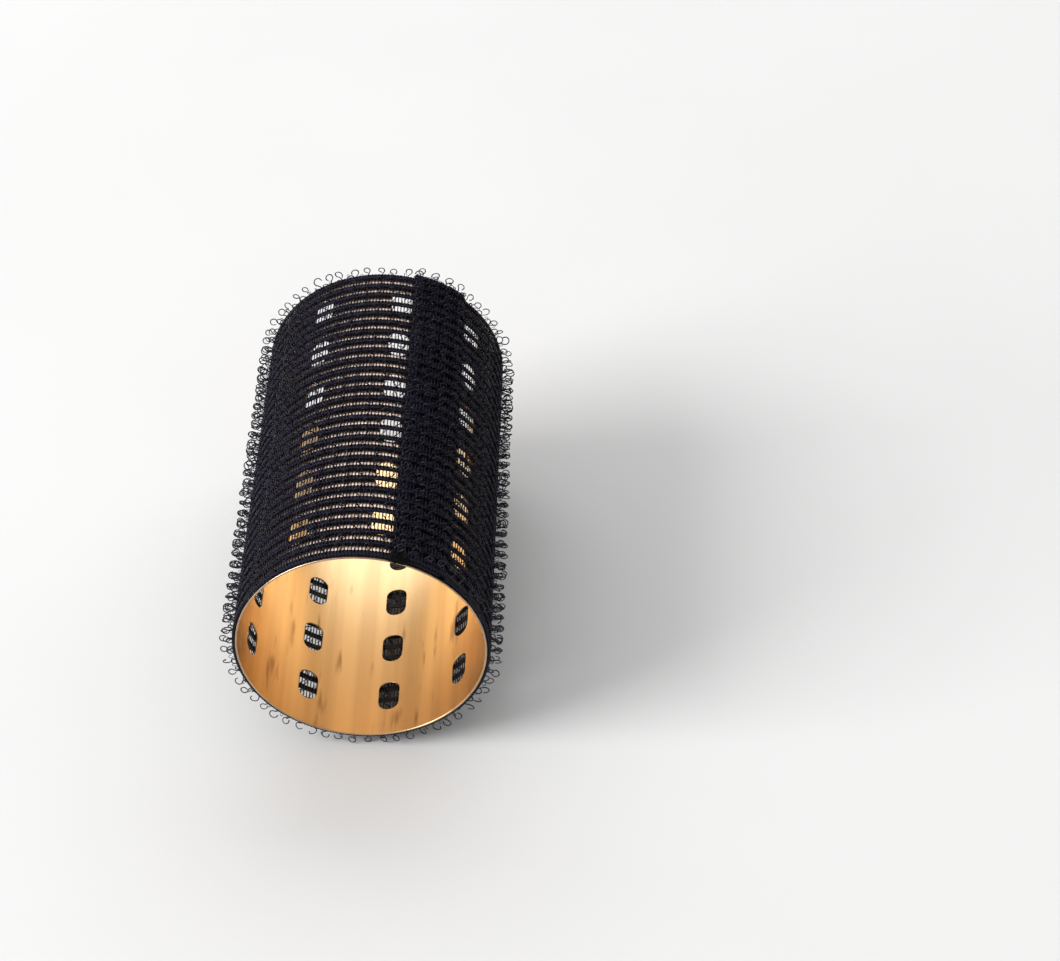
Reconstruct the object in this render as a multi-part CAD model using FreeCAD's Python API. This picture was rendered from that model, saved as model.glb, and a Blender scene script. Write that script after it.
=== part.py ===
import FreeCAD, Part
import math
import os

# A self-grip hair roller: a perforated aluminium tube inside a sleeve of knitted hook tape.
# The tape is wound once round the tube, its two ends lap, and a thin weld holds the lap.
#
# Frame, in millimetres: the origin is on the tube's axis, halfway along it. +Y runs along
# the axis to the rear end, and +Z is up as the roller lies on its side. Angles round the
# tube are in degrees from +Z towards +X. Radii are from the tube's axis.

# Core tube
TUBE_LENGTH = 63.0
TUBE_OUTER_R = 17.75
TUBE_WALL = 0.28
TUBE_EDGE_BREAK = 0.05

# Ventilation slots, punched in rings: rounded rectangles, longer along the tube
SLOT_LENGTH = 5.4
SLOT_WIDTH = 3.05
SLOT_CORNER_R = 1.45
SLOTS_PER_RING = 9
SLOT_FIRST_ANGLE = 10.5
SLOT_RINGS = 6
SLOT_FIRST_RING = 7.6
SLOT_RING_PITCH = 9.8
PUNCH_DEPTH = 3.0

# Wales: chains of stitches that run round the tube, side by side
WALE_COUNT = 29
WALE_PITCH = 2.2
WALE_WIDTH = 1.0
WALE_THICKNESS = 0.44

# Inlay filaments: straight nylon monofilaments along the tube, under the wales
FILAMENT_D = 0.17
FILAMENT_CLEAR = 0.01
FILAMENTS_PER_TURN = 232

# Lap seam: the outer end of the tape stops at LAP_OUTER_END and the inner end at
# LAP_INNER_END. Past the inner end the outer layer comes down to the tube on a ramp.
LAP_OUTER_END = 15.5
LAP_INNER_END = 40.0
LAP_RAMP_END = 50.0

# Weld: a thin fused film between the two layers, and its end, which droops over the front rim
WELD_THICKNESS = 0.06
WELD_CLEAR = 0.01
WELD_MARGIN = 1.5
TAB_ANGLE = 18.2
TAB_WIDTH = 2.4
TAB_THICKNESS = 0.8
TAB_REACH = 1.1
TAB_DROOP = 0.55
TAB_INNER_R = 18.1

# Hook pile: the springy layer of nylon hooks. Its underside is pressed flat where it lies.
PILE_CLEAR = 0.02
PILE_HEIGHT = 1.85
PILE_PRESS = 0.25
PILE_LAP_FOOT = 10.0
PILE_CLEAR_ANGLE = 0.1

# Worked out from the sizes above
TUBE_INNER_R = TUBE_OUTER_R - TUBE_WALL
SLEEVE_LENGTH = (WALE_COUNT - 1) * WALE_PITCH + WALE_WIDTH
FRONT = -SLEEVE_LENGTH / 2
FILAMENT_R = FILAMENT_D / 2
FILAMENT_LIFT = FILAMENT_CLEAR + FILAMENT_R
FILAMENT_SPACE = FILAMENT_D + 2 * FILAMENT_CLEAR
WALE_INNER_R = TUBE_OUTER_R + FILAMENT_SPACE
WALE_OUTER_R = WALE_INNER_R + WALE_THICKNESS
WELD_SPACE = WELD_THICKNESS + 2 * WELD_CLEAR
LAYER_RISE = WALE_THICKNESS + WELD_SPACE + FILAMENT_SPACE
PILE_INNER_R = WALE_OUTER_R + PILE_CLEAR
PILE_OUTER_R = PILE_INNER_R + PILE_HEIGHT

TURN = 360.0
AXIS = FreeCAD.Vector(0, 1, 0)
CENTRE = FreeCAD.Vector(0, 0, 0)


def at(radius, angle, y=FRONT):
    """The point at this radius and angle round the tube."""
    a = math.radians(angle)
    return FreeCAD.Vector(radius * math.sin(a), y, radius * math.cos(a))


def arc(radius, start, end):
    """A round edge about the tube's axis, from one angle to another."""
    middle = at(radius, (start + end) / 2)
    return Part.Arc(at(radius, start), middle, at(radius, end)).toShape()


def line(start, end):
    """A straight edge between two points."""
    return Part.LineSegment(start, end).toShape()


def prism(edges, length):
    """The solid that a closed outline makes when it is drawn along the tube."""
    return Part.Face(Part.Wire(edges)).extrude(AXIS * length)


def core_tube():
    """The thin aluminium tube with its rings of slots."""
    half = TUBE_LENGTH / 2
    pipe = Part.makeCylinder(TUBE_OUTER_R, TUBE_LENGTH, AXIS * -half, AXIS)
    pipe = pipe.cut(Part.makeCylinder(TUBE_INNER_R, TUBE_LENGTH, AXIS * -half, AXIS))
    rims = [edge for edge in pipe.Edges if abs(abs(edge.CenterOfMass.y) - half) < TUBE_EDGE_BREAK]
    pipe = pipe.makeChamfer(TUBE_EDGE_BREAK, rims)

    punches = []
    for ring in range(SLOT_RINGS):
        y = -half + SLOT_FIRST_RING + ring * SLOT_RING_PITCH
        for column in range(SLOTS_PER_RING):
            punches.append(slot_punch(SLOT_FIRST_ANGLE + column * TURN / SLOTS_PER_RING, y))
    return pipe.cut(punches)


def slot_punch(angle, y):
    """The punch that cuts one slot: a block with rounded corners, set radially."""
    block = Part.makeBox(SLOT_WIDTH, SLOT_LENGTH, PUNCH_DEPTH)
    block.translate(FreeCAD.Vector(-SLOT_WIDTH / 2, -SLOT_LENGTH / 2, TUBE_OUTER_R - PUNCH_DEPTH / 2))
    corners = [edge for edge in block.Edges if edge.BoundBox.ZLength > PUNCH_DEPTH / 2]
    block = block.makeFillet(SLOT_CORNER_R, corners)
    block.rotate(CENTRE, AXIS, angle)
    block.translate(AXIS * y)
    return block


def wale(y):
    """One chain of stitches: a band wound once round the tube, with its outer end over its inner."""
    low, high = WALE_INNER_R, WALE_OUTER_R
    lap_low, lap_high = low + LAYER_RISE, high + LAYER_RISE
    outer_face = [
        arc(lap_high, LAP_OUTER_END, LAP_INNER_END),
        line(at(lap_high, LAP_INNER_END), at(high, LAP_RAMP_END)),
        arc(high, LAP_RAMP_END, LAP_INNER_END + TURN),
    ]
    inner_face = [
        arc(low, LAP_INNER_END + TURN, LAP_RAMP_END),
        line(at(low, LAP_RAMP_END), at(lap_low, LAP_INNER_END)),
        arc(lap_low, LAP_INNER_END, LAP_OUTER_END),
    ]
    inner_end = [line(at(high, LAP_INNER_END), at(low, LAP_INNER_END))]
    outer_end = [line(at(lap_low, LAP_OUTER_END), at(lap_high, LAP_OUTER_END))]
    band = prism(outer_face + inner_end + inner_face + outer_end, WALE_WIDTH)
    band.translate(AXIS * (y - WALE_WIDTH / 2 - FRONT))
    return band


def inlay_filaments():
    """The filaments that hold the wales side by side, under both layers of the tape."""
    low = TUBE_OUTER_R + FILAMENT_LIFT
    ramp_top = at(low + LAYER_RISE, LAP_INNER_END)
    ramp_foot = at(low, LAP_RAMP_END)
    step = TURN / FILAMENTS_PER_TURN
    total = int((TURN + LAP_INNER_END - LAP_OUTER_END) / step)
    filaments = []
    for i in range(total):
        angle = LAP_OUTER_END + (i + 0.5) * step
        if angle < LAP_INNER_END:
            place = at(low + LAYER_RISE, angle)
        elif angle < LAP_RAMP_END:
            down = (angle - LAP_INNER_END) / (LAP_RAMP_END - LAP_INNER_END)
            place = ramp_top + (ramp_foot - ramp_top) * down
        else:
            place = at(low, angle)
        filaments.append(Part.makeCylinder(FILAMENT_R, SLEEVE_LENGTH, place, AXIS))
    return Part.makeCompound(filaments)


def lap_weld():
    """The fused film in the lap, with the small tab at its front end."""
    low = WALE_OUTER_R + WELD_CLEAR
    high = low + WELD_THICKNESS
    start = LAP_OUTER_END + WELD_MARGIN
    end = LAP_INNER_END - WELD_MARGIN
    edges = [arc(high, start, end), line(at(high, end), at(low, end))]
    edges += [arc(low, end, start), line(at(low, start), at(high, start))]
    tab_back = FRONT - WELD_CLEAR
    film_front = tab_back - WELD_THICKNESS
    film = prism(edges, FRONT + SLEEVE_LENGTH - film_front)
    film.translate(AXIS * (film_front - FRONT))

    top = TAB_INNER_R + TAB_THICKNESS
    corners = [
        FreeCAD.Vector(-TAB_WIDTH / 2, tab_back, TAB_INNER_R),
        FreeCAD.Vector(-TAB_WIDTH / 2, tab_back, top),
        FreeCAD.Vector(-TAB_WIDTH / 2, tab_back - TAB_REACH, top - TAB_DROOP),
        FreeCAD.Vector(-TAB_WIDTH / 2, tab_back - TAB_REACH, TAB_INNER_R - TAB_DROOP),
    ]
    tab = Part.Face(Part.makePolygon(corners + corners[:1])).extrude(FreeCAD.Vector(TAB_WIDTH, 0, 0))
    tab.rotate(CENTRE, AXIS, TAB_ANGLE)
    return film.fuse(tab).removeSplitter()


def pile_outline(radius, lap_foot):
    """The outline of the pile at this radius: it rises over the lap and falls away at lap_foot."""
    lap_radius = radius + LAYER_RISE
    return [
        arc(lap_radius, LAP_OUTER_END, LAP_INNER_END),
        line(at(lap_radius, LAP_INNER_END), at(radius, LAP_RAMP_END)),
        arc(radius, LAP_RAMP_END, lap_foot + TURN),
        line(at(radius, lap_foot), at(lap_radius, LAP_OUTER_END)),
    ]


def hook_pile():
    """The layer that the hooks fill, from the face of the tape to their tips."""
    pile = prism(pile_outline(PILE_OUTER_R, PILE_LAP_FOOT), SLEEVE_LENGTH)
    pile = pile.cut(prism(pile_outline(PILE_INNER_R, LAP_OUTER_END - PILE_CLEAR_ANGLE), SLEEVE_LENGTH))
    floor = Part.makeBox(2 * PILE_OUTER_R, SLEEVE_LENGTH, PILE_OUTER_R)
    floor.translate(FreeCAD.Vector(-PILE_OUTER_R, FRONT, -2 * PILE_OUTER_R + PILE_PRESS))
    return pile.cut(floor)


pieces = {
    "core_tube": core_tube(),
    "inlay_filaments": inlay_filaments(),
    "lap_weld": lap_weld(),
    "hook_pile": hook_pile(),
}
for index in range(WALE_COUNT):
    pieces[f"wale_{index + 1:02d}"] = wale((index - (WALE_COUNT - 1) / 2) * WALE_PITCH)

os.makedirs("parts", exist_ok=True)
for name, shape in pieces.items():
    shape.exportStep(f"parts/{name}.step")
    print(name, "valid" if shape.isValid() else "INVALID", len(shape.Solids), round(shape.Volume, 2))
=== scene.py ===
import math
import random

import bpy
import numpy as np
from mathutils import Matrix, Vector


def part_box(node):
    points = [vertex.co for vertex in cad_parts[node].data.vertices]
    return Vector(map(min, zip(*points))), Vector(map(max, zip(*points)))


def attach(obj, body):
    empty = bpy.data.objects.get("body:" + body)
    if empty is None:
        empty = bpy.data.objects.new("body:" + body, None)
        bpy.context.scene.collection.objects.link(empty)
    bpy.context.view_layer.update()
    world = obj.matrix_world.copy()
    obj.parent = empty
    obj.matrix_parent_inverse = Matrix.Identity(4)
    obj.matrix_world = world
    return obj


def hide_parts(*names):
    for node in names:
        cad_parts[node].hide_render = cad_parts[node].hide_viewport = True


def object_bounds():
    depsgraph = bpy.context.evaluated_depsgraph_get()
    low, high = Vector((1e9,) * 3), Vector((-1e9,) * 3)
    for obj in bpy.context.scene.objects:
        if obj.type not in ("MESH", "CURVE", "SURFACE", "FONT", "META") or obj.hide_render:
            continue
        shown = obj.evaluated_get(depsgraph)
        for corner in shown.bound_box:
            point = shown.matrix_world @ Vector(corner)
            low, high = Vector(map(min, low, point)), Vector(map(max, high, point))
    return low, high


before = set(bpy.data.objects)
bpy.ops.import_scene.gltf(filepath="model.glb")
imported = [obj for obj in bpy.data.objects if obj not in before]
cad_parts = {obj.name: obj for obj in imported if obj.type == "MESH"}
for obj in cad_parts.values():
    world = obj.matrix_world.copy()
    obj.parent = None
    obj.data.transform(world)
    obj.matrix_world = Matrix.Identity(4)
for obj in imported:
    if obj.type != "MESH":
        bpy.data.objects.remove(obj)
cad_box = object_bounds()
bpy.ops.object.select_all(action="DESELECT")


# ---------------------------------------------------------------------------
# Core tube: thin aluminium sheet, punched with nine columns of six slots while
# it is flat, then rolled up, drawn to size, polished and anodised gold.
# ---------------------------------------------------------------------------
TUBE_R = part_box("core_tube")[1].x
TUBE_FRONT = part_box("core_tube")[0].y
TUBE_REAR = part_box("core_tube")[1].y
TUBE_WALL = 0.00028
TUBE_EDGE_BREAK = 0.00008
SLOT_COLUMNS = 9
SLOT_RINGS = 6
SLOT_RING_PITCH = 0.0098
SLOT_FIRST_RING = 0.0076
SLOT_FIRST_ANGLE = math.radians(10.5)
SLOT_HALF_WIDTH = 0.00305 / 2
SLOT_HALF_LENGTH = 0.0054 / 2
SLOT_CORNER_R = 0.00145
CELL_WIDTH = 2 * math.pi * TUBE_R / SLOT_COLUMNS
CELL_SIDE_CUTS = 8
CELL_BRIDGE_CUTS = 3
CUT_EDGE_SHADE_DEPTHS = (0.3, 0.7)
MERGE_DISTANCE = 0.00001
ROLLED_FACING = 0.95


def bake_modifiers(piece):
    """Applies every modifier of a piece, from the top."""
    bpy.ops.object.select_all(action="DESELECT")
    bpy.context.view_layer.objects.active = piece
    piece.select_set(True)
    for modifier in list(piece.modifiers):
        bpy.ops.object.modifier_apply(modifier=modifier.name)


def repeat(piece, count, step):
    """Repeats a piece along a line, and welds the copies where they meet."""
    array = piece.modifiers.new("repeat", "ARRAY")
    array.count = count
    array.use_relative_offset = False
    array.use_constant_offset = True
    array.constant_offset_displace = step
    array.use_merge_vertices = True
    array.merge_threshold = MERGE_DISTANCE
    bake_modifiers(piece)


def select_points(piece, wanted):
    """Selects the points of a piece in edit mode by their place, and nothing else."""
    bpy.ops.object.select_all(action="DESELECT")
    bpy.context.view_layer.objects.active = piece
    piece.select_set(True)
    bpy.ops.object.mode_set(mode="EDIT")
    bpy.ops.mesh.select_mode(type="VERT")
    bpy.ops.mesh.select_all(action="DESELECT")
    bpy.ops.object.mode_set(mode="OBJECT")
    for vertex in piece.data.vertices:
        vertex.select = wanted(vertex.co)
    bpy.ops.object.mode_set(mode="EDIT")


def set_in_place():
    """Puts the selected pieces' place, turn and size into their meshes."""
    bpy.ops.object.transform_apply(location=True, rotation=True, scale=True)


def finish_piece(piece, name, slot, material, *nodes):
    """Names a piece, gives it its material, and hangs it on the roller. The slot argument is not used."""
    piece.name = name
    piece.data.name = name
    piece.data.materials.clear()
    piece.data.materials.append(material)
    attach(piece, "root")
    if nodes:
        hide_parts(*nodes)
    bpy.ops.object.select_all(action="DESELECT")


# One cell of the sheet: the outline of its share of the sheet, bridged to the slot's outline.
bpy.ops.mesh.primitive_plane_add(size=1)
sheet = bpy.context.object
sheet.scale = (CELL_WIDTH, SLOT_RING_PITCH, 1)
set_in_place()
bpy.ops.object.mode_set(mode="EDIT")
bpy.ops.mesh.select_all(action="SELECT")
bpy.ops.mesh.delete(type="ONLY_FACE")
bpy.ops.mesh.select_all(action="SELECT")
bpy.ops.mesh.subdivide(number_cuts=CELL_SIDE_CUTS)
bpy.ops.object.mode_set(mode="OBJECT")

outline_points = 4 * (CELL_SIDE_CUTS + 1)
bpy.ops.mesh.primitive_circle_add(vertices=outline_points, radius=SLOT_CORNER_R)
outline = bpy.context.object
outline.rotation_euler.z = math.pi / outline_points
set_in_place()
for vertex in outline.data.vertices:
    vertex.co.x += math.copysign(SLOT_HALF_WIDTH - SLOT_CORNER_R, vertex.co.x)
    vertex.co.y += math.copysign(SLOT_HALF_LENGTH - SLOT_CORNER_R, vertex.co.y)
sheet.select_set(True)
bpy.context.view_layer.objects.active = sheet
bpy.ops.object.join()
bpy.ops.object.mode_set(mode="EDIT")
bpy.ops.mesh.select_all(action="SELECT")
bpy.ops.mesh.bridge_edge_loops(number_cuts=CELL_BRIDGE_CUTS, interpolation="LINEAR")
bpy.ops.object.mode_set(mode="OBJECT")

# The whole punched sheet, with its plain margins at the two ends.
repeat(sheet, SLOT_COLUMNS, (CELL_WIDTH, 0, 0))
repeat(sheet, SLOT_RINGS, (0, SLOT_RING_PITCH, 0))
sheet.location.y = TUBE_FRONT + SLOT_FIRST_RING
set_in_place()
punched_front = TUBE_FRONT + SLOT_FIRST_RING - SLOT_RING_PITCH / 2
punched_rear = punched_front + SLOT_RINGS * SLOT_RING_PITCH
for edge, margin in ((punched_front, TUBE_FRONT), (punched_rear, TUBE_REAR)):
    select_points(sheet, lambda co: abs(co.y - edge) < MERGE_DISTANCE)
    bpy.ops.mesh.extrude_region_move(TRANSFORM_OT_translate={"value": (0, margin - edge, 0)})
    bpy.ops.object.mode_set(mode="OBJECT")


def roll_up(piece, radius, start_angle):
    """Rolls a flat sheet up round the Y axis: X runs round the tube, and Z stands off it."""
    for vertex in piece.data.vertices:
        angle = start_angle + vertex.co.x / radius
        stand = radius + vertex.co.z
        vertex.co.x = stand * math.sin(angle)
        vertex.co.z = stand * math.cos(angle)


# Rolled up, with its seam closed, its wall thickened inwards and its cut edges broken.
roll_up(sheet, TUBE_R, SLOT_FIRST_ANGLE)
select_points(sheet, lambda co: True)
bpy.ops.mesh.remove_doubles(threshold=MERGE_DISTANCE)
bpy.ops.mesh.select_all(action="SELECT")
bpy.ops.mesh.normals_make_consistent(inside=False)
bpy.ops.object.mode_set(mode="OBJECT")
core_tube = sheet
wall = core_tube.modifiers.new("wall", "SOLIDIFY")
wall.thickness = TUBE_WALL
wall.offset = -1
wall.use_even_offset = True
broken_edge = core_tube.modifiers.new("broken edge", "BEVEL")
broken_edge.width = TUBE_EDGE_BREAK
broken_edge.segments = 2
broken_edge.limit_method = "ANGLE"
broken_edge.angle_limit = math.radians(50)
bpy.ops.object.select_all(action="DESELECT")
bpy.context.view_layer.objects.active = core_tube
core_tube.select_set(True)
bpy.ops.object.shade_smooth()
bake_modifiers(core_tube)

# The two rolled faces are true cylinders, so their normals point straight from the axis.
normals = []
for polygon in core_tube.data.polygons:
    for index in polygon.vertices:
        point = core_tube.data.vertices[index].co
        outwards = Vector((point.x, 0, point.z)).normalized()
        facing = outwards.dot(polygon.normal)
        rolled = abs(facing) > ROLLED_FACING
        normals.append(outwards * math.copysign(1, facing) if rolled else (0, 0, 0))
core_tube.data.normals_split_custom_set(normals)

# Anodised gold: warm and satin under a clear oxide skin, drawn along the tube, with soft
# brown smudges from handling. Its cut edges carry painted shade, darker than the gold, and
# its outer face carries a painted highlight, paler than the gold.
anodised_gold = bpy.data.materials.new("anodised_gold")
anodised_gold.use_nodes = True
nodes = anodised_gold.node_tree.nodes
links = anodised_gold.node_tree.links
metal = nodes["Principled BSDF"]
metal.inputs["Metallic"].default_value = 1.0
metal.inputs["Coat Weight"].default_value = 0.85
metal.inputs["Coat IOR"].default_value = 1.65
metal.inputs["Coat Roughness"].default_value = 0.3
place = nodes.new("ShaderNodeTexCoord")
across = nodes.new("ShaderNodeVectorMath")
across.operation = "MULTIPLY"
across.inputs[1].default_value = (1, 0, 1)
links.new(place.outputs["Object"], across.inputs[0])
from_axis = nodes.new("ShaderNodeVectorMath")
from_axis.operation = "LENGTH"
links.new(across.outputs["Vector"], from_axis.inputs[0])
through_wall = nodes.new("ShaderNodeMapRange")
through_wall.inputs["From Min"].default_value = TUBE_R - TUBE_WALL
through_wall.inputs["From Max"].default_value = TUBE_R
links.new(from_axis.outputs["Value"], through_wall.inputs["Value"])
dye_and_painted_light = nodes.new("ShaderNodeValToRGB")
dye_and_painted_light.color_ramp.elements[0].color = (0.985, 0.69, 0.345, 1)
# The paler, pinkish outer face is a painted highlight.
dye_and_painted_light.color_ramp.elements[1].color = (0.74, 0.57, 0.47, 1)
# The cut edges of the rim and the slots are painted dark brown: painted shade.
for depth in CUT_EDGE_SHADE_DEPTHS:
    cut_edge_shade = dye_and_painted_light.color_ramp.elements.new(depth)
    cut_edge_shade.color = (0.42, 0.27, 0.14, 1)
links.new(through_wall.outputs["Result"], dye_and_painted_light.inputs["Fac"])

along = nodes.new("ShaderNodeMapping")
along.inputs["Scale"].default_value = (1, 0.16, 1)
links.new(place.outputs["Object"], along.inputs["Vector"])
smudge = nodes.new("ShaderNodeTexNoise")
smudge.inputs["Scale"].default_value = 620
smudge.inputs["Detail"].default_value = 2
links.new(along.outputs["Vector"], smudge.inputs["Vector"])
smudged = nodes.new("ShaderNodeValToRGB")
smudged.color_ramp.interpolation = "EASE"
smudged.color_ramp.elements[0].position = 0.22
smudged.color_ramp.elements[0].color = (0.52, 0.42, 0.36, 1)
smudged.color_ramp.elements[1].position = 0.41
smudged.color_ramp.elements[1].color = (1, 1, 1, 1)
links.new(smudge.outputs["Fac"], smudged.inputs["Fac"])

draw_scale = nodes.new("ShaderNodeMapping")
draw_scale.inputs["Scale"].default_value = (1, 0.012, 1)
links.new(place.outputs["Object"], draw_scale.inputs["Vector"])
draw_bands = nodes.new("ShaderNodeTexNoise")
draw_bands.inputs["Scale"].default_value = 380
draw_bands.inputs["Detail"].default_value = 3
links.new(draw_scale.outputs["Vector"], draw_bands.inputs["Vector"])
banded = nodes.new("ShaderNodeValToRGB")
banded.color_ramp.elements[0].position = 0.35
banded.color_ramp.elements[0].color = (0.86, 0.83, 0.80, 1)
banded.color_ramp.elements[1].position = 0.60
banded.color_ramp.elements[1].color = (1, 1, 1, 1)
links.new(draw_bands.outputs["Fac"], banded.inputs["Fac"])

shade = dye_and_painted_light.outputs["Color"]
for layer in (smudged, banded):
    darken = nodes.new("ShaderNodeMix")
    darken.data_type = "RGBA"
    darken.blend_type = "MULTIPLY"
    darken.inputs["Factor"].default_value = 1
    links.new(shade, darken.inputs["A"])
    links.new(layer.outputs["Color"], darken.inputs["B"])
    shade = darken.outputs["Result"]
links.new(shade, metal.inputs["Base Color"])

draw_marks = nodes.new("ShaderNodeTexNoise")
draw_marks.inputs["Scale"].default_value = 2600
draw_marks.inputs["Detail"].default_value = 3
links.new(draw_scale.outputs["Vector"], draw_marks.inputs["Vector"])
polish = nodes.new("ShaderNodeMapRange")
polish.inputs["From Min"].default_value = 0.3
polish.inputs["From Max"].default_value = 0.7
polish.inputs["To Min"].default_value = 0.28
polish.inputs["To Max"].default_value = 0.33
links.new(draw_marks.outputs["Fac"], polish.inputs["Value"])
links.new(polish.outputs["Result"], metal.inputs["Roughness"])
grain = nodes.new("ShaderNodeBump")
grain.inputs["Strength"].default_value = 0.06
grain.inputs["Distance"].default_value = 0.00001
links.new(draw_marks.outputs["Fac"], grain.inputs["Height"])
links.new(grain.outputs["Normal"], metal.inputs["Normal"])

finish_piece(core_tube, "core_tube_anodised", "anodised_gold", anodised_gold, "core_tube")


# ---------------------------------------------------------------------------
# Wales: 29 chains of knitted nylon yarn, which run round the roller side by side.
# The tape is knitted flat here, X along it, Y across it and Z up from its back, and
# wound on the tube afterwards, with its outer end over its inner one.
# ---------------------------------------------------------------------------
WALES = sorted(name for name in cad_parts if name.startswith("wale_"))
WALE_MIDDLES = [(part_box(name)[0].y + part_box(name)[1].y) / 2 for name in WALES]
WALE_PITCH = WALE_MIDDLES[1] - WALE_MIDDLES[0]
TAPE_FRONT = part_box(WALES[0])[0].y
TAPE_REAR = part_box(WALES[-1])[1].y
MM = 0.001
NET_LIFT = 0.00019
WALE_R = TUBE_R + NET_LIFT
LAYER_RISE = 0.00071
LAP_OUTER_END = math.radians(15.5)
LAP_INNER_END = math.radians(40)
LAP_RAMP_END = math.radians(44)
FILAMENTS_PER_TURN = 232
COURSE = 2 * math.pi * WALE_R / FILAMENTS_PER_TURN
COURSES = 247
YARN_R = 0.000135
CAP_GAP = 0.000001
DYE_DRIFT_SCALE = 140
POLISH_DRIFT = 0.08


def wind(piece):
    """Winds a flat piece of tape on the tube: X=0 is the cut outer end, over the lap."""
    count = len(piece.data.vertices)
    flat = np.empty(count * 3)
    piece.data.vertices.foreach_get("co", flat)
    x, y, z = flat.reshape(-1, 3).T
    angle = LAP_OUTER_END + x / WALE_R
    down = np.clip((angle - LAP_INNER_END) / (LAP_RAMP_END - LAP_INNER_END), 0, 1)
    radius = WALE_R + LAYER_RISE * (1 - down) + z
    wound = np.stack([radius * np.sin(angle), y, radius * np.cos(angle)], axis=1)
    piece.data.vertices.foreach_set("co", wound.ravel())
    piece.data.update()


def strand(points, radius, sides):
    """A length of yarn or monofilament along these points, as a mesh with closed ends."""
    bpy.ops.curve.primitive_nurbs_path_add()
    curve = bpy.context.object
    spline = curve.data.splines[0]
    spline.points.add(len(points) - len(spline.points))
    for point, place in zip(spline.points, points):
        point.co = (*place, 1)
    spline.order_u = 3
    spline.use_endpoint_u = True
    curve.data.resolution_u = 1
    curve.data.bevel_depth = radius
    curve.data.bevel_resolution = sides // 2 - 2
    curve.data.use_fill_caps = True
    bpy.ops.object.convert(target="MESH")
    bpy.ops.object.mode_set(mode="EDIT")
    bpy.ops.mesh.select_all(action="SELECT")
    bpy.ops.mesh.remove_doubles(threshold=CAP_GAP)
    bpy.ops.mesh.normals_make_consistent(inside=False)
    bpy.ops.object.mode_set(mode="OBJECT")
    bpy.ops.object.shade_smooth()
    return bpy.context.object


def nylon(name, dark, light, roughness, gloss, grain_scale, grain_depth):
    """Dyed nylon: its shade and its polish drift over the roller, and it has a fine grain."""
    material = bpy.data.materials.new(name)
    material.use_nodes = True
    nodes = material.node_tree.nodes
    links = material.node_tree.links
    skin = nodes["Principled BSDF"]
    skin.inputs["Specular IOR Level"].default_value = gloss
    place = nodes.new("ShaderNodeTexCoord")
    drift = nodes.new("ShaderNodeTexNoise")
    drift.inputs["Scale"].default_value = DYE_DRIFT_SCALE
    drift.inputs["Detail"].default_value = 6
    drift.inputs["Roughness"].default_value = 0.7
    links.new(place.outputs["Object"], drift.inputs["Vector"])
    shade = nodes.new("ShaderNodeValToRGB")
    shade.color_ramp.elements[0].position = 0.35
    shade.color_ramp.elements[0].color = (*dark, 1)
    shade.color_ramp.elements[1].position = 0.65
    shade.color_ramp.elements[1].color = (*light, 1)
    links.new(drift.outputs["Fac"], shade.inputs["Fac"])
    links.new(shade.outputs["Color"], skin.inputs["Base Color"])
    polish = nodes.new("ShaderNodeMapRange")
    polish.inputs["From Min"].default_value = 0.3
    polish.inputs["From Max"].default_value = 0.7
    polish.inputs["To Min"].default_value = roughness - POLISH_DRIFT
    polish.inputs["To Max"].default_value = roughness + POLISH_DRIFT
    links.new(drift.outputs["Fac"], polish.inputs["Value"])
    links.new(polish.outputs["Result"], skin.inputs["Roughness"])
    fibres = nodes.new("ShaderNodeTexNoise")
    fibres.inputs["Scale"].default_value = grain_scale
    fibres.inputs["Detail"].default_value = 2
    links.new(place.outputs["Object"], fibres.inputs["Vector"])
    relief = nodes.new("ShaderNodeBump")
    relief.inputs["Strength"].default_value = 0.5
    relief.inputs["Distance"].default_value = grain_depth
    links.new(fibres.outputs["Fac"], relief.inputs["Height"])
    links.new(relief.outputs["Normal"], skin.inputs["Normal"])
    return material


# One stitch of the chain: a loop of yarn whose head goes round the feet of the next one.
# Its points are in courses along the tape, and in millimetres across it and up.
STITCH = (
    (-0.30, 0.04, 0.10),
    (0.10, 0.16, 0.20),
    (0.50, 0.36, 0.18),
    (1.00, 0.38, 0.14),
    (1.45, 0.00, 0.22),
    (1.00, -0.38, 0.14),
    (0.50, -0.36, 0.18),
    (0.10, -0.16, 0.20),
    (-0.30, -0.04, 0.10),
)
black_knit = nylon("black_knit", (0.003, 0.0025, 0.008), (0.008, 0.0065, 0.021), 0.5, 0.16, 9000, 0.00003)
chain = strand([(x * COURSE, y * MM, z * MM) for x, y, z in STITCH], YARN_R, 6)
repeat(chain, COURSES, (COURSE, 0, 0))
for name, middle in zip(WALES, WALE_MIDDLES):
    wale = chain.copy()
    wale.data = chain.data.copy()
    bpy.context.collection.objects.link(wale)
    wale.location.y = middle
    bpy.context.view_layer.objects.active = wale
    wale.select_set(True)
    set_in_place()
    wind(wale)
    finish_piece(wale, name + "_knit", "knit_nylon", black_knit, name)
bpy.data.objects.remove(chain)


# ---------------------------------------------------------------------------
# Hook pile: stiff nylon monofilament, knitted into the wales every fourth course and
# heat-set into curls that stand off the tape. Shorter curls stand between them, and those
# of the buried inner end come up through the net of the lap.
# ---------------------------------------------------------------------------
HOOK_COURSES = 4
HOOK_FIRST_COURSE = 1.5
HOOK_WIRE_R = 0.000085
HOOK_TWIST = math.radians(16)
HOOK_TWIST_SPREAD = 0.36
HOOK_TILT_SPREAD = 0.10
HOOK_SIZES = (0.90, 1.04)
HOOK_DRIFT = 0.3
HOOK_SIDE_DRIFT = 0.0001
CURL_TWIST_SPREAD = 0.9
CURL_TILT_SPREAD = 0.25
LOW_CURLS = 60
LOW_CURL_SIZES = (0.40, 0.55)
LOW_CURL_SIDE_DRIFT = 0.0003
LAP_HOOKS = 20
LAP_HOOK_SIZES = (0.5, 0.7)
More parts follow.
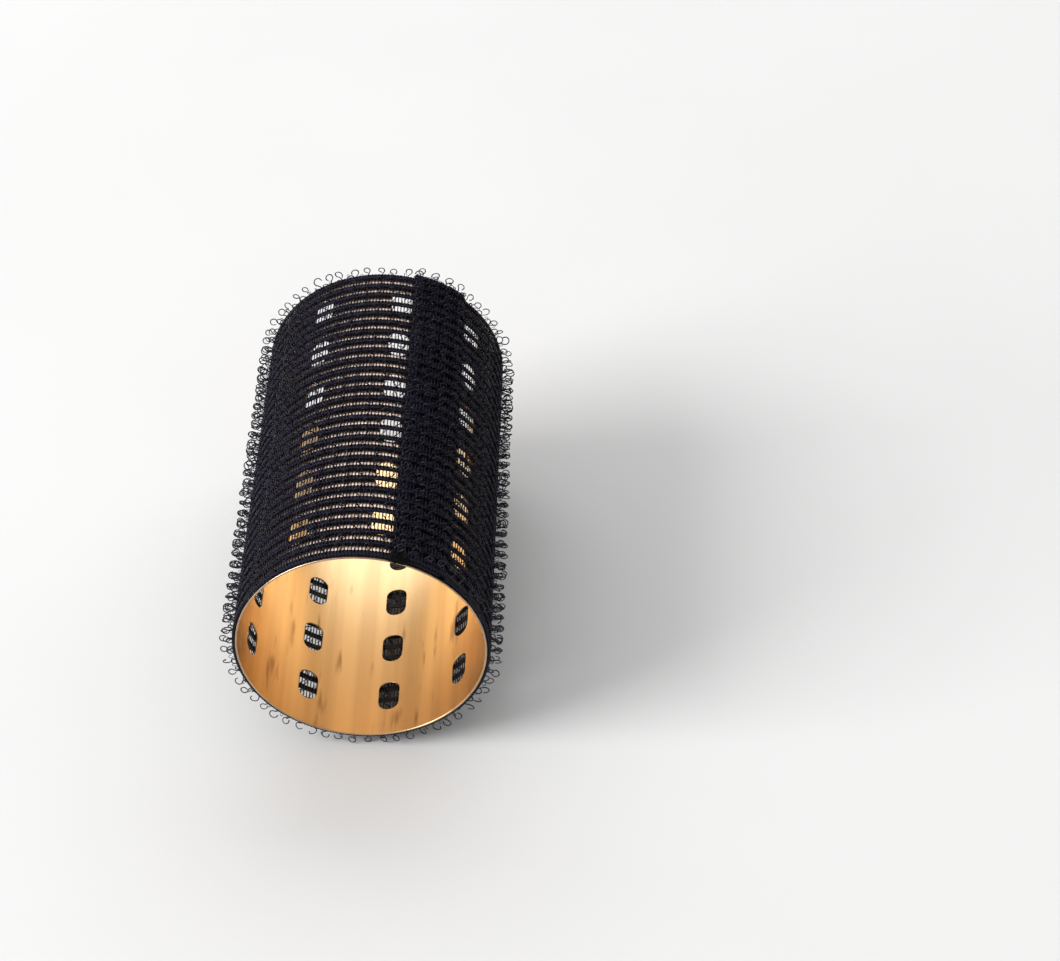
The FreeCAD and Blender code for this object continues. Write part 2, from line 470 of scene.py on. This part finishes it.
LAP_HOOK_SIDES = (0.3, 0.7)
LAP_LENGTH = (LAP_INNER_END - LAP_OUTER_END) * WALE_R
FLOOR_Z = cad_box[0][2]
CURL_STEPS = 10
CURL_START = -80
CURL_WIDTH = 0.26
CURL_FOOT = [(-0.06, 0, 0.20), (0.00, 0, 0.50)]

# Six curls, each with half its width, half its height, the height of its middle, how far
# it turns in degrees, and its lean, in millimetres.
CURLS = (
    (0.52, 0.58, 1.50, 320, 0.00),
    (0.48, 0.54, 1.55, 350, 0.06),
    (0.56, 0.62, 1.46, 290, -0.06),
    (0.46, 0.52, 1.56, 300, 0.09),
    (0.54, 0.58, 1.42, 390, -0.05),
    (0.58, 0.63, 1.47, 260, 0.02),
)
random.seed(36)

curls = []
for half_width, half_height, height, sweep, lean in CURLS:
    points = list(CURL_FOOT)
    for i in range(CURL_STEPS + 1):
        turn = math.radians(CURL_START + sweep * i / CURL_STEPS)
        across = CURL_WIDTH * i / CURL_STEPS - CURL_WIDTH / 2
        points.append((half_width * math.cos(turn) + lean, across, height + half_height * math.sin(turn)))
    curls.append(strand([(x * MM, y * MM, z * MM) for x, y, z in points], HOOK_WIRE_R, 4))


def set_hook(x, y, twist_spread, tilt_spread, size):
    """Sets one curl, picked at random, into the flat tape."""
    curl = random.choice(curls)
    hook = curl.copy()
    hook.data = curl.data.copy()
    bpy.context.collection.objects.link(hook)
    hook.location = (x, y, 0)
    half_turn = math.pi if random.random() < 0.5 else 0
    hook.rotation_euler = (
        random.gauss(0, tilt_spread),
        random.gauss(0, tilt_spread),
        half_turn + random.gauss(HOOK_TWIST, twist_spread),
    )
    hook.scale = (size, size, size)
    return hook


black_hook = nylon("black_hook", (0.003, 0.003, 0.009), (0.009, 0.008, 0.024), 0.36, 0.29, 5000, 0.00001)
for name, middle in zip(WALES, WALE_MIDDLES):
    row = []
    for i in range(COURSES // HOOK_COURSES):
        x = (i * HOOK_COURSES + HOOK_FIRST_COURSE + random.uniform(-HOOK_DRIFT, HOOK_DRIFT)) * COURSE
        y = middle + random.uniform(-HOOK_SIDE_DRIFT, HOOK_SIDE_DRIFT)
        size = random.uniform(*HOOK_SIZES)
        row.append(set_hook(x, y, HOOK_TWIST_SPREAD, HOOK_TILT_SPREAD, size))
    for i in range(LOW_CURLS):
        x = COURSES * COURSE * (i + random.random()) / LOW_CURLS
        y = middle + random.uniform(-LOW_CURL_SIDE_DRIFT, LOW_CURL_SIDE_DRIFT)
        size = random.uniform(*LOW_CURL_SIZES)
        row.append(set_hook(x, y, CURL_TWIST_SPREAD, CURL_TILT_SPREAD, size))
    inwards = -1 if name == WALES[-1] else 1
    for i in range(LAP_HOOKS):
        x = LAP_LENGTH * (i + random.random()) / LAP_HOOKS
        y = middle + inwards * random.uniform(*LAP_HOOK_SIDES) * WALE_PITCH
        size = random.uniform(*LAP_HOOK_SIZES)
        row.append(set_hook(x, y, CURL_TWIST_SPREAD, CURL_TILT_SPREAD, size))
    bpy.ops.object.select_all(action="DESELECT")
    for hook in row:
        hook.select_set(True)
    bpy.context.view_layer.objects.active = row[0]
    bpy.ops.object.join()
    set_in_place()
    hooks = bpy.context.object
    wind(hooks)
    for vertex in hooks.data.vertices:
        vertex.co.z = max(vertex.co.z, FLOOR_Z)
    finish_piece(hooks, name.replace("wale", "hooks"), "hook_nylon", black_hook, "hook_pile")


# ---------------------------------------------------------------------------
# Hook tape's net: the cloth that carries the wales. A straight nylon filament lies
# across them at each course, and a flat ground yarn runs under each of them. It is
# pulled tight round the tube.
# ---------------------------------------------------------------------------
FILAMENT_R = 0.000085
FILAMENT_SIDES = 6
FILAMENT_Z = -0.000095
RIBBON_WIDTH = 0.0008
RIBBON_THICKNESS = 0.0001
RIBBON_Z = 0.00008

black_filament = nylon(
    "black_filament", (0.004, 0.004, 0.007), (0.012, 0.012, 0.018), 0.42, 0.35, 6000, 0.00001
)
bpy.ops.mesh.primitive_plane_add(size=1)
net = bpy.context.object
net.scale = (COURSE, RIBBON_WIDTH, 1)
net.location = (COURSE / 2, WALE_MIDDLES[0], RIBBON_Z)
set_in_place()
repeat(net, COURSES, (COURSE, 0, 0))
repeat(net, len(WALES), (0, WALE_PITCH, 0))
thickness = net.modifiers.new("thickness", "SOLIDIFY")
thickness.thickness = RIBBON_THICKNESS
thickness.offset = 0
bake_modifiers(net)

bpy.ops.mesh.primitive_cylinder_add(
    vertices=FILAMENT_SIDES, radius=FILAMENT_R, depth=TAPE_REAR - TAPE_FRONT, end_fill_type="NGON",
    location=(COURSE / 2, 0, FILAMENT_Z), rotation=(math.pi / 2, 0, 0)
)
filaments = bpy.context.object
set_in_place()
repeat(filaments, COURSES, (COURSE, 0, 0))
net.select_set(True)
bpy.context.view_layer.objects.active = net
bpy.ops.object.join()
bpy.ops.object.shade_smooth_by_angle(angle=math.radians(70))
wind(net)
finish_piece(net, "hook_tape_net", "filament_nylon", black_filament, "inlay_filaments")


# ---------------------------------------------------------------------------
# Lap weld: a thin film of fused nylon between the two ends of the tape, left by the
# hot tool. Its end is squeezed out over the front rim as a small drooping tab.
# ---------------------------------------------------------------------------
WELD_START = math.radians(1.5) * WALE_R
WELD_END = (LAP_RAMP_END - math.radians(1) - LAP_OUTER_END) * WALE_R
WELD_THICKNESS = 0.00006
WELD_RIPPLE = 0.00001
WELD_Z = -0.00023
TAB_REACH = 0.0011
TAB_SET_BACK = 0.0005
TAB_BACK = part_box("lap_weld")[0].y + TAB_REACH
TAB_ANGLE = math.radians(18.2)
TAB_WIDTH = 0.0024
TAB_LENGTH = 0.00105
TAB_THICKNESS = 0.0008
TAB_R = 0.01855
TAB_DROOP = 0.00028
TAB_RAGGED = 0.00008
TAB_FIBRES = 26
TAB_FIBRE_SIZE = 0.32
TAB_FIBRE_SPREAD = 0.4
TAB_FIBRE_TWIST = 3
TAB_FIBRE_TILT = 0.8

bpy.ops.mesh.primitive_grid_add(x_subdivisions=20, y_subdivisions=80, size=1)
film = bpy.context.object
film.scale = (WELD_END - WELD_START, TAPE_REAR - TAPE_FRONT, 1)
film.location = ((WELD_START + WELD_END) / 2, 0, WELD_Z)
set_in_place()
for vertex in film.data.vertices:
    vertex.co.z += random.uniform(-WELD_RIPPLE, WELD_RIPPLE)
thickness = film.modifiers.new("thickness", "SOLIDIFY")
thickness.thickness = WELD_THICKNESS
thickness.offset = 0
bake_modifiers(film)
wind(film)

bpy.ops.mesh.primitive_cube_add(size=1)
tab = bpy.context.object
tab.scale = (TAB_WIDTH, TAB_LENGTH, TAB_THICKNESS)
set_in_place()
bpy.ops.object.mode_set(mode="EDIT")
bpy.ops.mesh.select_all(action="SELECT")
bpy.ops.mesh.subdivide(number_cuts=9)
bpy.ops.mesh.vertices_smooth(factor=0.5, repeat=3)
bpy.ops.object.mode_set(mode="OBJECT")
for vertex in tab.data.vertices:
    out = 0.5 - vertex.co.y / TAB_LENGTH
    vertex.co.z -= TAB_DROOP * out * out
    vertex.co.x += random.uniform(-TAB_RAGGED, TAB_RAGGED)
    vertex.co.y += random.uniform(-TAB_RAGGED, TAB_RAGGED)
    vertex.co.z += random.uniform(-TAB_RAGGED, TAB_RAGGED)
parts = [tab]
for i in range(TAB_FIBRES):
    x = random.uniform(-TAB_FIBRE_SPREAD, TAB_FIBRE_SPREAD) * TAB_WIDTH
    y = random.uniform(-TAB_FIBRE_SPREAD, TAB_FIBRE_SPREAD) * TAB_LENGTH
    fibre = set_hook(x, y, TAB_FIBRE_TWIST, TAB_FIBRE_TILT, TAB_FIBRE_SIZE)
    fibre.location.z = -TAB_THICKNESS / 4
    parts.append(fibre)
bpy.ops.object.select_all(action="DESELECT")
for part in parts:
    part.select_set(True)
bpy.context.view_layer.objects.active = tab
bpy.ops.object.join()
tab.location = (0, TAB_BACK - TAB_LENGTH / 2 + TAB_SET_BACK, TAB_R)
set_in_place()
tab.rotation_euler.y = TAB_ANGLE
set_in_place()
film.select_set(True)
bpy.context.view_layer.objects.active = film
bpy.ops.object.join()
bpy.ops.object.shade_smooth()
fused_nylon = nylon("fused_nylon", (0.002, 0.0025, 0.002), (0.008, 0.009, 0.007), 0.8, 0.08, 4000, 0.00008)
finish_piece(film, "lap_weld_fused", "weld_nylon", fused_nylon, "lap_weld")
for curl in curls:
    bpy.data.objects.remove(curl)


# ---------------------------------------------------------------------------
# Setting: a plain pale table, soft studio light and the camera.
# ---------------------------------------------------------------------------
TABLE_SIZE = 6
TABLE_CLEARANCE = 0.00005
BACK_SOFTBOX = (0.15, 1.5, 1.4)
FRONT_SOFTBOX = (-1.5, -0.6, 0.9)
CAMERA = (0.02938, -0.30539, 0.27692)

bpy.ops.mesh.primitive_plane_add(size=TABLE_SIZE, location=(0, 0, FLOOR_Z - TABLE_CLEARANCE))
floor = bpy.context.object
floor.name = "floor"
pale_table = bpy.data.materials.new("pale_table")
pale_table.use_nodes = True
nodes = pale_table.node_tree.nodes
links = pale_table.node_tree.links
place = nodes.new("ShaderNodeTexCoord")
mottle = nodes.new("ShaderNodeTexNoise")
mottle.inputs["Scale"].default_value = 14
mottle.inputs["Detail"].default_value = 3
links.new(place.outputs["Object"], mottle.inputs["Vector"])
paint = nodes.new("ShaderNodeValToRGB")
paint.color_ramp.elements[0].color = (0.725, 0.72, 0.715, 1)
paint.color_ramp.elements[1].color = (0.785, 0.78, 0.775, 1)
links.new(mottle.outputs["Fac"], paint.inputs["Fac"])
links.new(paint.outputs["Color"], nodes["Principled BSDF"].inputs["Base Color"])
nodes["Principled BSDF"].inputs["Roughness"].default_value = 0.7
floor.data.materials.append(pale_table)

# The light is soft all round, and stronger from the left and the front. A wide softbox
# stands behind, and a smaller one fills in from the front left.
world = bpy.data.worlds.new("studio")
bpy.context.scene.world = world
world.use_nodes = True
nodes = world.node_tree.nodes
links = world.node_tree.links
sky = nodes["Background"]
sky.inputs["Color"].default_value = (0.98, 0.99, 1, 1)
heading = nodes.new("ShaderNodeTexCoord")
towards = nodes.new("ShaderNodeVectorMath")
towards.operation = "DOT_PRODUCT"
towards.inputs[1].default_value = (-0.30, -0.10, 0)
links.new(heading.outputs["Generated"], towards.inputs[0])
level = nodes.new("ShaderNodeMath")
level.operation = "ADD"
level.inputs[1].default_value = 0.40
links.new(towards.outputs["Value"], level.inputs[0])
links.new(level.outputs["Value"], sky.inputs["Strength"])

bpy.ops.object.light_add(type="AREA", location=BACK_SOFTBOX)
softbox = bpy.context.object
softbox.data.shape = "RECTANGLE"
softbox.data.size = 3.8
softbox.data.size_y = 1.7
softbox.data.energy = 34
softbox.rotation_euler = (-softbox.location).to_track_quat("-Z", "Y").to_euler()

bpy.ops.object.light_add(type="AREA", location=FRONT_SOFTBOX)
fill = bpy.context.object
fill.data.size = 1.0
fill.data.energy = 38
fill.rotation_euler = (-fill.location).to_track_quat("-Z", "Y").to_euler()

bpy.ops.object.camera_add(location=CAMERA)
camera = bpy.context.object
camera.rotation_euler = (math.radians(48.232), 0, math.radians(1.174))
camera.data.lens = 93.96
camera.data.sensor_width = 36
bpy.context.scene.camera = camera
bpy.context.scene.view_settings.view_transform = "Standard"
